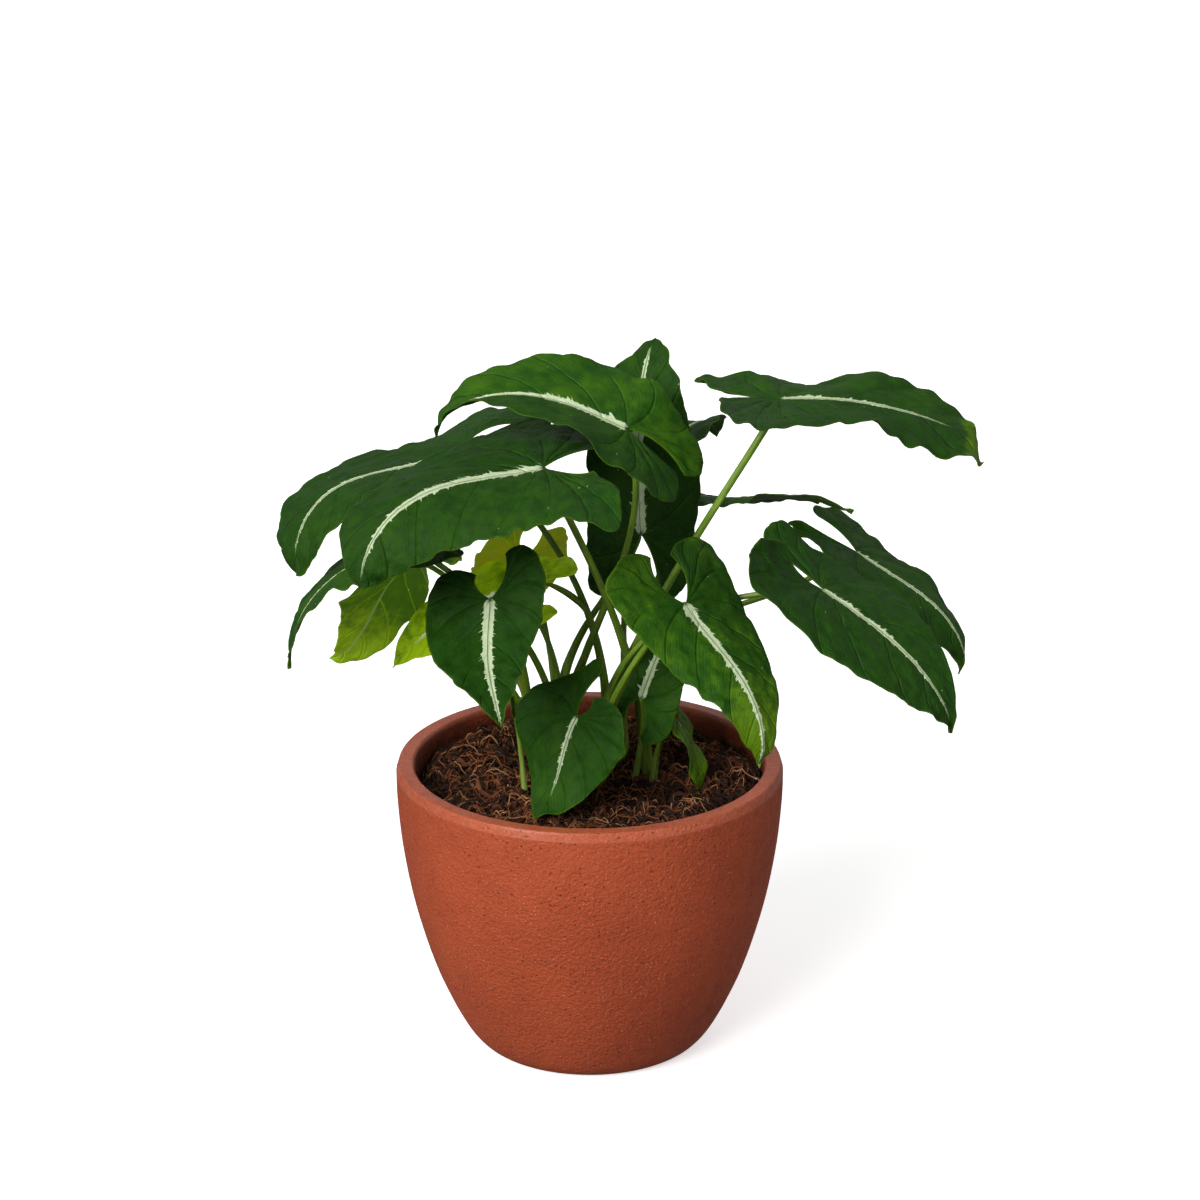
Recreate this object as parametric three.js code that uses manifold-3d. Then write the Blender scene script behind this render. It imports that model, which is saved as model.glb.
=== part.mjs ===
// Potted syngonium: a round terracotta-coloured pot, coir soil and nineteen arrow-shaped leaves.
// Millimetres, +Z up. The origin is the centre of the pot's underside; -Y is the front.
import * as THREE from "three";
import { mergeVertices } from "three/addons/utils/BufferGeometryUtils.js";
import Module from "manifold-3d";

// Pot: [radius, height] from the middle of the underside, up the outside and down the inside.
const potOutside = [
  [45.2, 0], [46.8, 0.8], [48.9, 2.4], [51.9, 6.1], [55.5, 12.2], [59.7, 20.8], [64.8, 33],
  [69.9, 48.9], [74.5, 67.2], [78, 88], [79.7, 106.4], [80, 118.8], [79, 122.3],
];
const potInside = [
  [73, 122.3], [72.2, 121.3], [72, 110], [70.4, 88], [67.2, 68], [62.8, 50], [57.4, 34], [50.6, 21],
  [43, 12.5], [34, 9],
];
const potSides = 44;

// Soil: it stands off the pot's inside by a small gap and is higher at the back left.
const seatGap = 0.3;
const soilLevel = 111.5;
const soilMounds = [
  { at: [-28, 42], height: 4, spread: 28 },
  { at: [60, 8], height: 3, spread: 16 },
  { at: [22, 45], height: 2, spread: 22 },
];
const soilRings = [69, 58, 46, 34, 22, 10];
const soilSides = 36;
const stalkDepth = 104; // height at which the stalks end inside the soil

// Leaves. Pairs are [right half, left half], seen from the stalk looking to the tip, face up.
// joint: where the stalk meets the blade. heading: compass angle of the midrib at the joint and
// at the tip, from +X towards +Y. pitch: its rise at the joint, half way and at the tip.
// roll: turn about the midrib at the joint and at the tip. lobeBack, lobeOut: how far the lobes
// reach behind and beside the joint. fold: rise of each half beside the midrib, plus tipFold at
// the tip. curl: how much each half bends on the way to its margin. lobeLift: bend of the lobes.
// notch: how open the gap between the lobes is. Angles are degrees.
const usual = { fold: [5, 5], lobeLift: [-10, -10], curl: [-10, -10], tipFold: 0, notch: 1 };
const leaves = {
  top_leaf: { joint: [15, -2, 265], heading: [174, 181], pitch: [26, 4, -56],
    roll: [10, -13], length: 87, halfWidth: [31, 30], lobeBack: [37, 30], lobeOut: [22, 29],
    fold: [22, -2], lobeLift: [-38, -34], curl: [0, -5], tipFold: 4, notch: 0.2,
    stalk: { base: [-14, 8], low: [-14, 8, 169], high: [32, -5, 215], radius: 1.4 } },
  front_left_leaf: { joint: [-18, -29, 257], heading: [195, 239], pitch: [-8, -11, -84],
    roll: [7, 14], length: 102, halfWidth: [42, 45], lobeBack: [37, 20], lobeOut: [40, 58],
    fold: [5, 11], lobeLift: [-20, -10], curl: [-14, -20], tipFold: -30, notch: 0.8,
    stalk: { base: [24, 6], low: [27, 2, 161], high: [-4, -13, 221], radius: 1.5 } },
  far_left_leaf: { joint: [-51, 38, 247], heading: [192, 241], pitch: [-32, -9, -109],
    roll: [-1, -13], length: 104, halfWidth: [38, 38], lobeBack: [34, 36], lobeOut: [38, 37],
    fold: [2, 0], lobeLift: [-59, -13], curl: [-9, -7], tipFold: -4, notch: 0.8,
    stalk: { base: [6, 12], low: [16, 14, 182], high: [-20, 22, 221], radius: 1.3 } },
  lower_left_leaf: { joint: [-70, -26, 224], heading: [157, 208], pitch: [-15, -42, -95],
    roll: [7, -5], length: 81, halfWidth: [27, 28], lobeBack: [29, 28], lobeOut: [26, 22],
    fold: [1, 5],
    stalk: { base: [-18, -2], low: [-32, -15, 173], high: [-13, -36, 187], radius: 1.2 } },
  hanging_leaf: { joint: [-70, 10, 206], heading: [173, 154], pitch: [-21, -64, -19],
    roll: [-11, -69], length: 64, halfWidth: [29, 23], lobeBack: [16, 21], lobeOut: [28, 22],
    fold: [14, 5], lobeLift: [-74, -21], curl: [-3, -10], tipFold: -35, notch: 0.2,
    stalk: { base: [-17, 14], low: [-20, 35, 137], high: [-48, 45, 185], radius: 1.1 } },
  inner_left_leaf: { joint: [-31, 0, 194], heading: [159, 178], pitch: [-11, -36, -52],
    roll: [20, 47], length: 64, halfWidth: [23, 24], lobeBack: [24, 23], lobeOut: [25, 23],
    lobeLift: [-4, -10], notch: 1.2,
    stalk: { base: [-9, -4], low: [-9, -3, 145], high: [-13, 0, 183], radius: 1.1 } },
  left_heart_leaf: { joint: [-39, -42, 207], heading: [262, 289], pitch: [-65, -21, -51],
    roll: [-17, 0], length: 64, halfWidth: [26, 23], lobeBack: [11, 22], lobeOut: [25, 22],
    lobeLift: [-5, -10], notch: 0.7,
    stalk: { base: [-12, -12], low: [-9, -9, 157], high: [-24, -18, 179], radius: 1.3 } },
  old_yellow_leaf: { joint: [-27, 36, 198], heading: [111, 87], pitch: [-56, -46, -76],
    roll: [2, -2], length: 62, halfWidth: [20, 22], lobeBack: [22, 25], lobeOut: [16, 20],
    lobeLift: [-18, -18], notch: 0.7,
    stalk: { base: [-12, 16], low: [-13, 15, 153], high: [-20, 25, 187], radius: 1.0 } },
  back_upright_leaf: { joint: [21, 22, 213], heading: [103, 68], pitch: [74, 65, 24],
    roll: [-28, 1], length: 87, halfWidth: [30, 28], lobeBack: [28, 26], lobeOut: [26, 30],
    fold: [5, 9], lobeLift: [-10, -21],
    stalk: { base: [-5, 19], low: [-28, 27, 159], high: [14, 22, 186], radius: 1.3 } },
  back_tip_leaf: { joint: [25, 66, 236], heading: [44, 68], pitch: [4, 3, -68],
    roll: [17, 7], length: 58, halfWidth: [20, 19], lobeBack: [21, 21], lobeOut: [19, 18],
    fold: [5, 11],
    stalk: { base: [14, 22], low: [14, 25, 165], high: [12, 46, 223], radius: 1.0 } },
  upper_right_leaf: { joint: [77, 4, 276], heading: [369, 361], pitch: [1, -15, -32],
    roll: [-1, -21], length: 92, halfWidth: [33, 31], lobeBack: [30, 31], lobeOut: [44, 33],
    fold: [0, 5], lobeLift: [12, 22], curl: [2, -10], tipFold: -6, notch: 0.2,
    stalk: { base: [-8, 1], low: [17, 2, 186], high: [61, -1, 245], radius: 1.5 } },
  level_right_leaf: { joint: [47, 66, 216], heading: [-16, -46], pitch: [-7, 11, -22],
    roll: [17, 24], length: 73, halfWidth: [24, 25], lobeBack: [26, 26], lobeOut: [24, 24],
    fold: [-3, 1],
    stalk: { base: [10, 16], low: [14, 22, 155], high: [28, 39, 200], radius: 1.0 } },
  right_back_leaf: { joint: [111, 39, 200], heading: [336, 335], pitch: [-30, -35, -102],
    roll: [1, -21], length: 75, halfWidth: [28, 26], lobeBack: [28, 27], lobeOut: [26, 27],
    fold: [12, 2], lobeLift: [-4, -13], curl: [-11, -11], tipFold: -36, notch: 1.1,
    stalk: { base: [7, 7], low: [-3, 14, 197], high: [50, 15, 165], radius: 1.2 } },
  right_front_leaf: { joint: [93, -24, 205], heading: [328, 345], pitch: [-23, -39, -76],
    roll: [6, -33], length: 81, halfWidth: [38, 33], lobeBack: [28, 37], lobeOut: [40, 27],
    lobeLift: [45, 12], curl: [-10, -6], tipFold: -13, notch: 0.7,
    stalk: { base: [5, -7], low: [-5, -11, 169], high: [27, -15, 202], radius: 1.2 } },
  centre_right_leaf: { joint: [38, -42, 205], heading: [319, 302], pitch: [-47, -41, -118],
    roll: [-5, 2], length: 78, halfWidth: [28, 26], lobeBack: [27, 25], lobeOut: [31, 30],
    fold: [0, 5], lobeLift: [19, 4], tipFold: -27, notch: 0.6,
    stalk: { base: [-3, -12], low: [0, -14, 150], high: [26, -31, 190], radius: 1.4 } },
  front_low_leaf: { joint: [-5, -33, 154], heading: [214, 243], pitch: [-49, -67, -1],
    roll: [20, -6], length: 47, halfWidth: [28, 27], lobeBack: [24, 12], lobeOut: [12, 20],
    fold: [5, 0], lobeLift: [-10, -2], tipFold: -25, notch: 0.3,
    stalk: { base: [-7, -22], low: [-7, -23, 126], high: [-6, -27, 146], radius: 1.0 } },
  shaded_leaf: { joint: [21, -13, 154], heading: [45, 40], pitch: [62, 55, 30],
    roll: [-25, -20], length: 46, halfWidth: [16, 11], lobeBack: [18, 10], lobeOut: [16, 9],
    lobeLift: [8, 8],
    stalk: { base: [17, -2], low: [19, -2, 120], high: [24, -3, 141], radius: 0.9 } },
  small_hanging_leaf: { joint: [36, -8, 143], heading: [324, 315], pitch: [-57, -65, -115],
    roll: [14, 6], length: 34, halfWidth: [11, 11], lobeBack: [12, 12], lobeOut: [11, 11],
    fold: [5, -2], curl: [-10, -14], tipFold: 5,
    stalk: { base: [25, -4], low: [26, -4, 125], high: [29, -4, 137], radius: 0.8 } },
  young_leaf: { joint: [-30, -14, 147], heading: [120, 120], pitch: [70, 60, 40],
    roll: [0, 0], length: 16, halfWidth: [4, 4], lobeBack: [3, 3], lobeOut: [3, 3],
    fold: [40, 40], lobeLift: [0, 0], curl: [0, 0],
    stalk: { base: [-26, -15], low: [-27, -15, 123], high: [-29, -12, 140], radius: 0.8 } },
};
const leafThickness = 0.7;
const leafColumns = 13;
const notchEnd = 2 / 9; // the outline runs straight from the joint to here, along the notch
const leafRows = 2;
const veinSlant = 0.8; // a side vein runs this far forward for each millimetre sideways
const spineSteps = 24;
const stalkSides = 6;
const stalkSteps = 15;
const pocketTop = 120;
const pocketSteps = 5;

const terracotta = new THREE.MeshStandardMaterial({ color: 0xa8502f, roughness: 0.8, metalness: 0 });
const soilBrown = new THREE.MeshStandardMaterial({ color: 0x2e1a12, roughness: 1, metalness: 0 });
const leafGreen = new THREE.MeshStandardMaterial({ color: 0x1f4d22, roughness: 0.5, metalness: 0 });
const leafYellow = new THREE.MeshStandardMaterial({ color: 0x6f8a1c, roughness: 0.5, metalness: 0 });
const stalkGreen = new THREE.MeshStandardMaterial({ color: 0x5a7a2c, roughness: 0.5, metalness: 0 });
const yellowLeaves = ["hanging_leaf", "old_yellow_leaf", "inner_left_leaf"];

const wasm = await Module();
wasm.setup();

function toSolid(geometry) {
  const bare = geometry.clone();
  bare.deleteAttribute("normal");
  bare.deleteAttribute("uv");
  const merged = mergeVertices(bare, 1e-4);
  const mesh = new wasm.Mesh({
    numProp: 3,
    vertProperties: new Float32Array(merged.attributes.position.array),
    triVerts: new Uint32Array(merged.index.array),
  });
  return new wasm.Manifold(mesh);
}

function toGeometry(solid) {
  const mesh = solid.getMesh();
  return makeGeometry(Array.from(mesh.vertProperties), Array.from(mesh.triVerts));
}

function makeGeometry(positions, triangles) {
  const geometry = new THREE.BufferGeometry();
  geometry.setAttribute("position", new THREE.Float32BufferAttribute(positions, 3));
  geometry.setIndex(triangles);
  geometry.computeVertexNormals();
  return geometry;
}

function makePot() {
  const profile = [[0, 0], ...potOutside, ...potInside, [0, 9]];
  const lathe = new THREE.LatheGeometry(profile.map(([r, z]) => new THREE.Vector2(r, z)), potSides);
  lathe.rotateX(Math.PI / 2);
  return lathe;
}

// Height of the soil: a level, three low mounds and a slight unevenness.
function soilHeight(x, y) {
  let height = soilLevel + 0.7 * Math.sin(0.21 * x + 1) * Math.sin(0.25 * y);
  for (const { at, height: rise, spread } of soilMounds) {
    const away = Math.hypot(x - at[0], y - at[1]) / spread;
    height += rise * Math.exp(-away * away);
  }
  return height;
}

// The soil as rings of points: the middle of its underside, up the pot's wall, over the top.
function makeSoil() {
  const wall = potInside.slice(2).reverse().map(([r, z]) => [r - 2 * seatGap, z + seatGap]);
  const rings = [...wall.slice(0, -1), ...soilRings.map((radius) => [radius, null])];
  const edge = wall.at(-2);
  rings.splice(wall.length - 1, 0, [edge[0] + (wall.at(-1)[0] - edge[0]) * 0.85, null]);
  const positions = [0, 0, wall[0][1]];
  for (const [radius, z] of rings) {
    for (let i = 0; i < soilSides; i++) {
      const angle = (2 * Math.PI * i) / soilSides;
      const x = radius * Math.cos(angle);
      const y = radius * Math.sin(angle);
      positions.push(x, y, z ?? soilHeight(x, y));
    }
  }
  positions.push(0, 0, soilHeight(0, 0));
  const last = positions.length / 3 - 1;
  const triangles = [];
  for (let i = 0; i < soilSides; i++) {
    const next = (i + 1) % soilSides;
    triangles.push(0, 1 + next, 1 + i);
    for (let ring = 0; ring < rings.length - 1; ring++) {
      const low = 1 + ring * soilSides;
      const high = low + soilSides;
      triangles.push(low + i, low + next, high + next, low + i, high + next, high + i);
    }
    const top = 1 + (rings.length - 1) * soilSides;
    triangles.push(top + i, top + next, last);
  }
  return makeGeometry(positions, triangles);
}

// Forward, right and up directions of the midrib at t, from 0 at the joint to 1 at the tip.
function midribFrame(leaf, t) {
  const heading = THREE.MathUtils.degToRad(leaf.heading[0] + (leaf.heading[1] - leaf.heading[0]) * t);
  const [first, middle, last] = leaf.pitch;
  const rise = first * (1 - t) * (1 - 2 * t) + middle * 4 * t * (1 - t) + last * t * (2 * t - 1);
  const pitch = THREE.MathUtils.degToRad(rise);
  const roll = THREE.MathUtils.degToRad(leaf.roll[0] + (leaf.roll[1] - leaf.roll[0]) * t);
  const forward = new THREE.Vector3(
    Math.cos(pitch) * Math.cos(heading),
    Math.cos(pitch) * Math.sin(heading),
    Math.sin(pitch),
  );
  const level = new THREE.Vector3(Math.sin(heading), -Math.cos(heading), 0);
  const right = level.clone().applyAxisAngle(forward, -roll);
  const up = right.clone().cross(forward);
  return { forward, right, up };
}

// Points of the midrib from the joint to the tip, stepped along its forward direction.
function midribPoints(leaf) {
  const points = [new THREE.Vector3(...leaf.joint)];
  for (let i = 0; i < spineSteps; i++) {
    const { forward } = midribFrame(leaf, (i + 0.5) / spineSteps);
    points.push(points[i].clone().addScaledVector(forward, leaf.length / spineSteps));
  }
  return points;
}

// Flat margin of one half: from the joint round the lobe and on to the tip.
function halfOutline(leaf, half) {
  const back = leaf.lobeBack[half];
  const out = leaf.lobeOut[half];
  const wide = leaf.halfWidth[half];
  const long = leaf.length;
  const points = [
    [0, 0], [-0.3 * back, 0.12 * out * leaf.notch], [-0.82 * back, 0.33 * out * leaf.notch],
    [-back, 0.62 * out], [-0.62 * back, out], [0.12 * long, wide], [0.45 * long, 0.74 * wide],
    [0.75 * long, 0.36 * wide], [0.93 * long, 0.08 * wide], [long, 0],
  ];
  return new THREE.SplineCurve(points.map(([x, y]) => new THREE.Vector2(x, y)));
}

// Where the flat point (x forward, y beside the midrib) lies on the bent leaf, and which way its
// upper face looks there.
function placeOnLeaf(leaf, spine, half, x, y) {
  const t = THREE.MathUtils.clamp(x / leaf.length, 0, 1);
  const step = Math.min(Math.floor(t * spineSteps), spineSteps - 1);
  const point = spine[step].clone().lerp(spine[step + 1], t * spineSteps - step);
  const { forward, right, up } = midribFrame(leaf, t);
  const behind = Math.min(x, 0);
  const bend = (THREE.MathUtils.degToRad(leaf.lobeLift[half]) * -behind) / leaf.lobeBack[half] / 2;
  point.addScaledVector(forward, behind * Math.cos(bend)).addScaledVector(up, -behind * Math.sin(bend));
  const curl = (leaf.curl[half] * y) / leaf.halfWidth[half] / 2;
  const slope = THREE.MathUtils.degToRad(leaf.fold[half] + leaf.tipFold * t + curl);
  const side = half === 0 ? 1 : -1;
  point.addScaledVector(right, side * y * Math.cos(slope)).addScaledVector(up, y * Math.sin(slope));
  const facing = up.clone().multiplyScalar(Math.cos(2 * bend)).addScaledVector(forward, Math.sin(2 * bend));
  return { point, facing };
}

// One blade: both halves as a bent sheet, thickened to both sides and closed along the margin.
function makeBlade(leaf) {
  const spine = midribPoints(leaf);
  const outlines = [halfOutline(leaf, 0), halfOutline(leaf, 1)];
  const places = [];
  const known = new Map();
  const sheet = [];
  const margin = [];
  const placeIndex = (place) => {
    const key = place.point.toArray().map((value) => value.toFixed(3)).join();
    if (!known.has(key)) {
      known.set(key, places.length);
      places.push(place);
    }
    return known.get(key);
  };
  for (const half of [0, 1]) {
    const grid = [];
    for (let i = 0; i <= leafColumns; i++) {
      const along = notchEnd + ((1 - notchEnd) * i) / leafColumns;
      const edges = outlines.map((curve) => curve.getPoint(along));
      const starts = edges.map((edge) => edge.x - veinSlant * edge.y);
      const start = THREE.MathUtils.clamp((starts[0] + starts[1]) / 2, 0, leaf.length);
      const column = [];
      for (let j = 0; j <= leafRows; j++) {
        const x = start + ((edges[half].x - start) * j) / leafRows;
        const y = (edges[half].y * j) / leafRows;
        column.push(placeIndex(placeOnLeaf(leaf, spine, half, x, y)));
      }
      grid.push(column);
    }
    const rim = [...grid[0], ...grid.slice(1).map((column) => column[leafRows])];
    for (let i = 0; i < rim.length - 1; i++) {
      margin.push(half === 0 ? [rim[i], rim[i + 1]] : [rim[i + 1], rim[i]]);
    }
    for (let i = 0; i < leafColumns; i++) {
      for (let j = 0; j < leafRows; j++) {
        const [a, b, c, d] = [grid[i][j], grid[i + 1][j], grid[i + 1][j + 1], grid[i][j + 1]];
        for (const face of [[a, b, c], [a, c, d]]) {
          if (new Set(face).size === 3) sheet.push(half === 0 ? face.reverse() : face);
        }
      }
    }
  }
  const layer = (offset) => places.map(({ point, facing }) => point.clone().addScaledVector(facing, offset));
  const upper = layer(leafThickness / 2);
  const lower = layer(-leafThickness / 2);
  const count = places.length;
  const triangles = [];
  for (const [a, b, c] of sheet) triangles.push(a, b, c, a + count, c + count, b + count);
  for (const [a, b] of margin) triangles.push(b, a, a + count, b, a + count, b + count);
  return makeGeometry([...upper, ...lower].flatMap((point) => point.toArray()), triangles);
}

// The stalk's centre line, from inside the soil to just under the blade at the joint.
function stalkCurve(leaf) {
  const { base, low, high, radius } = leaf.stalk;
  const joint = new THREE.Vector3(...leaf.joint);
  const { up } = midribFrame(leaf, 0);
  const arrival = joint.clone().sub(new THREE.Vector3(...high)).normalize();
  const tilt = arrival.cross(up).length();
  const end = joint.addScaledVector(up, -(leafThickness / 2 + seatGap + radius * tilt));
  const start = new THREE.Vector3(base[0], base[1], stalkDepth);
  return new THREE.CubicBezierCurve3(start, new THREE.Vector3(...low), new THREE.Vector3(...high), end);
}

function makeRod(curve, radius, steps) {
  const ring = new THREE.Shape();
  ring.setFromPoints(Array.from({ length: stalkSides }, (_, i) => {
    const angle = (2 * Math.PI * i) / stalkSides;
    return new THREE.Vector2(radius * Math.cos(angle), radius * Math.sin(angle));
  }));
  return new THREE.ExtrudeGeometry(ring, { steps, extrudePath: curve, bevelEnabled: false });
}

// The room a stalk needs in the soil: its lower end up to clear air, wider by a gap all round.
function makePocket(curve, radius) {
  const foot = [curve.getPoint(0)];
  for (let t = 0.02; foot.at(-1).z < pocketTop; t += 0.02) foot.push(curve.getPoint(t));
  foot[0].addScaledVector(curve.getTangent(0), -seatGap);
  return makeRod(new THREE.CatmullRomCurve3(foot), radius + 2 * seatGap, pocketSteps);
}

const plant = new THREE.Group();
function addMesh(name, geometry, material) {
  const mesh = new THREE.Mesh(geometry, material);
  mesh.name = name;
  plant.add(mesh);
}

addMesh("pot", makePot(), terracotta);
let soil = toSolid(makeSoil());
for (const [name, shape] of Object.entries(leaves)) {
  const leaf = { ...usual, ...shape };
  const curve = stalkCurve(leaf);
  const blade = yellowLeaves.includes(name) ? leafYellow : leafGreen;
  soil = soil.subtract(toSolid(makePocket(curve, leaf.stalk.radius)));
  addMesh(`${name}_blade`, makeBlade(leaf), blade);
  addMesh(`${name}_stalk`, makeRod(curve, leaf.stalk.radius, stalkSteps), stalkGreen);
}
addMesh("soil", toGeometry(soil), soilBrown);

export default plant;
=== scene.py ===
# Potted syngonium: a terracotta-coloured pot, coir soil and nineteen arrow-shaped leaves.
import bpy
import mathutils
import numpy as np
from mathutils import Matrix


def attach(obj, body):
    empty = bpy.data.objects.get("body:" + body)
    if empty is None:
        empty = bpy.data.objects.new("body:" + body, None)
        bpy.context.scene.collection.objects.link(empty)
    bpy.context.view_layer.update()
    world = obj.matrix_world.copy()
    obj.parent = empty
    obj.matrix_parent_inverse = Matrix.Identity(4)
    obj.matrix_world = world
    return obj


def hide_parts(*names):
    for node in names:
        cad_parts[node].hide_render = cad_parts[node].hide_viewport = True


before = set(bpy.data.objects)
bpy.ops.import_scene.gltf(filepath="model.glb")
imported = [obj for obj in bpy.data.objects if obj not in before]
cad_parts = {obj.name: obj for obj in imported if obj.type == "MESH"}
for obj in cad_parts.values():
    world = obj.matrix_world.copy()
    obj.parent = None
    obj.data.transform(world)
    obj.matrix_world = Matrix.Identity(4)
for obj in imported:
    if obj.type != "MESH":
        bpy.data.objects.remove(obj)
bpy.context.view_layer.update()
scene = bpy.context.scene
mm = 0.001  # the tables below are in millimetres, the scene is in metres

# camera, floor and lights

view = dict(
    place=(4.23, -1322.1, 652.4),  # mm
    downTilt=19.2,  # degrees below the horizon
    lens=103.1, film=36,
)
studio = dict(
    floorSize=24, floorColour=(0.9, 0.9, 0.895, 1), floorPale=(0.91, 0.91, 0.905, 1), floorGlow=0.55,
    domeSize=14, domeAround=48, domeRows=20,  # m
    world=(0.15, 0.34), worldHeights=(-0.3, 0.3),  # brightness from below and above
    sun=dict(toward=(-0.78, -1.05, 0.86), strength=3.1, spread=38, colour=(1, 0.985, 0.955)),
    fill=dict(toward=(0.9, -0.8, 0.5), strength=0.28, spread=60, colour=(0.96, 0.98, 1)),
    back=dict(toward=(0.35, 1, 0.4), strength=0.7, spread=60, colour=(1, 1, 1), gloss=False),
)


def addCamera():
    data = bpy.data.cameras.new("camera")
    data.lens = view["lens"]
    data.sensor_width = view["film"]
    camera = bpy.data.objects.new("camera", data)
    camera.location = [v * mm for v in view["place"]]
    camera.rotation_euler = (np.radians(90 - view["downTilt"]), 0, 0)
    scene.collection.objects.link(camera)
    scene.camera = camera


# a wide soft source in the given direction
def addLight(name, setting):
    data = bpy.data.lights.new(name, "SUN")
    data.energy = setting["strength"]
    data.angle = np.radians(setting["spread"])
    data.color = setting["colour"]
    light = bpy.data.objects.new(name, data)
    light.rotation_euler = mathutils.Vector(setting["toward"]).to_track_quat("Z", "Y").to_euler()
    light.visible_glossy = setting.get("gloss", True)
    scene.collection.objects.link(light)


# an even white room, darker from below
def addWorld():
    world = bpy.data.worlds.new("world")
    world.use_nodes = True
    tree = world.node_tree
    height = tree.nodes.new("ShaderNodeSeparateXYZ")
    tree.links.new(tree.nodes.new("ShaderNodeTexCoord").outputs["Generated"], height.inputs[0])
    blend = tree.nodes.new("ShaderNodeMapRange")
    limits = studio["worldHeights"] + studio["world"]
    for socket, value in zip(("From Min", "From Max", "To Min", "To Max"), limits):
        blend.inputs[socket].default_value = value
    tree.links.new(height.outputs[2], blend.inputs["Value"])
    tree.nodes["Background"].inputs["Color"].default_value = (1, 1, 1, 1)
    tree.links.new(blend.outputs[0], tree.nodes["Background"].inputs["Strength"])
    scene.world = world


# materials: a wire is one socket's value, and sums and products of wires add Math nodes

# an operator of Wire: one Math node of the wire and the other term, or of the two the other way round
def operator(name, swapped=False):
    return lambda wire, *other: wire.paint.maths(name, *(other + (wire,) if swapped else (wire,) + other))


class Wire:
    def __init__(self, paint, socket):
        self.paint = paint
        self.socket = socket

    __add__, __radd__ = operator("ADD"), operator("ADD", swapped=True)
    __sub__, __rsub__ = operator("SUBTRACT"), operator("SUBTRACT", swapped=True)
    __mul__, __rmul__ = operator("MULTIPLY"), operator("MULTIPLY", swapped=True)
    __pow__, __abs__ = operator("POWER"), operator("ABSOLUTE")


class Paint:
    def __init__(self, name, **shader):
        self.material = bpy.data.materials.new(name)
        self.material.use_nodes = True
        self.tree = self.material.node_tree
        self.shader = self.tree.nodes["Principled BSDF"]
        for socket, value in shader.items():
            self.shader.inputs[socket.replace("_", " ")].default_value = value

    # any node: its type, its settings, then the values or wires of its sockets
    def node(self, kind, settings=None, values=None, output=0):
        node = self.tree.nodes.new("ShaderNode" + kind)
        for key, value in (settings or {}).items():
            setattr(node, key, value)
        for key, value in (values or {}).items():
            if isinstance(value, Wire):
                self.tree.links.new(value.socket, node.inputs[key])
            else:
                node.inputs[key].default_value = value
        return Wire(self, node.outputs[output])

    def maths(self, operation, *terms):
        return self.node("Math", dict(operation=operation), dict(enumerate(terms)))

    def apart(self, vector):
        split = self.node("SeparateXYZ", values={0: vector}).socket.node
        return [Wire(self, output) for output in split.outputs]

    def together(self, x, y, z):
        return self.node("CombineXYZ", values={0: x, 1: y, 2: z})

    # 0 below low, 1 above high and smooth between; low above high falls instead
    def ease(self, value, low, high):
        values = {"Value": value, "From Min": low, "From Max": high}
        return self.node("MapRange", dict(interpolation_type="SMOOTHSTEP"), values)

    def mix(self, share, first, second):
        return self.node("Mix", dict(data_type="RGBA"), {0: share, 6: first, 7: second}, output=2)

    def noise(self, where, scale, detail=2.0, rough=0.5):
        values = {"Vector": where, "Scale": scale, "Detail": detail, "Roughness": rough}
        return self.node("TexNoise", values=values)

    def cells(self, where, scale, output="Distance"):
        return self.node("TexVoronoi", values={"Vector": where, "Scale": scale}, output=output)

    def attribute(self, name):
        return self.node("Attribute", dict(attribute_name=name), output=1)

    def spot(self):
        return self.node("TexCoord", output=3)

    def bump(self, height, strength, distance):
        return self.node("Bump", values={"Height": height, "Strength": strength, "Distance": distance})

    def finish(self, **wires):
        for socket, wire in wires.items():
            self.tree.links.new(wire.socket, self.shader.inputs[socket.replace("_", " ")])
        return self.material


# meshes

def addMesh(name, points, faces, material):
    mesh = bpy.data.meshes.new(name)
    mesh.from_pydata(points.tolist(), [], faces)
    mesh.materials.append(material)
    piece = bpy.data.objects.new(name, mesh)
    scene.collection.objects.link(piece)
    return piece


def addPiece(name, points, faces, material, replaced=(), fields=None):
    piece = addMesh(name, points, faces, material)
    mesh = piece.data
    for field, values in (fields or {}).items():
        layer = mesh.attributes.new(field, "FLOAT_VECTOR", "POINT")
        layer.data.foreach_set("vector", values.astype(np.float32).ravel())
    mesh.polygons.foreach_set("use_smooth", np.ones(len(mesh.polygons), bool))
    mesh.update()
    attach(piece, "root")
    if replaced:
        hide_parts(*replaced)


# even angles once round
def turns(count):
    return np.arange(count) * 2 * np.pi / count


# faces of a grid of points, rows by columns, counted from the first point's number
def gridFaces(rows, columns, first=0, closed=False):
    across = np.arange(columns if closed else columns - 1)
    row, column = np.meshgrid(np.arange(rows - 1), across, indexing="ij")
    after = (column + 1) % columns
    near, far = row * columns, (row + 1) * columns
    return np.stack([near + column, near + after, far + after, far + column], -1).reshape(-1, 4) + first


# faces of a round grid, with fans that close its first and last ring at the two points after it
def closedFaces(rows, around):
    turn = np.arange(around)
    after = (turn + 1) % around
    count = rows * around
    last = count - around
    low = np.stack([np.full_like(turn, count), after, turn], -1)
    top = np.stack([np.full_like(turn, count + 1), last + turn, last + after], -1)
    return gridFaces(rows, around, closed=True).tolist() + low.tolist() + top.tolist()


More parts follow.
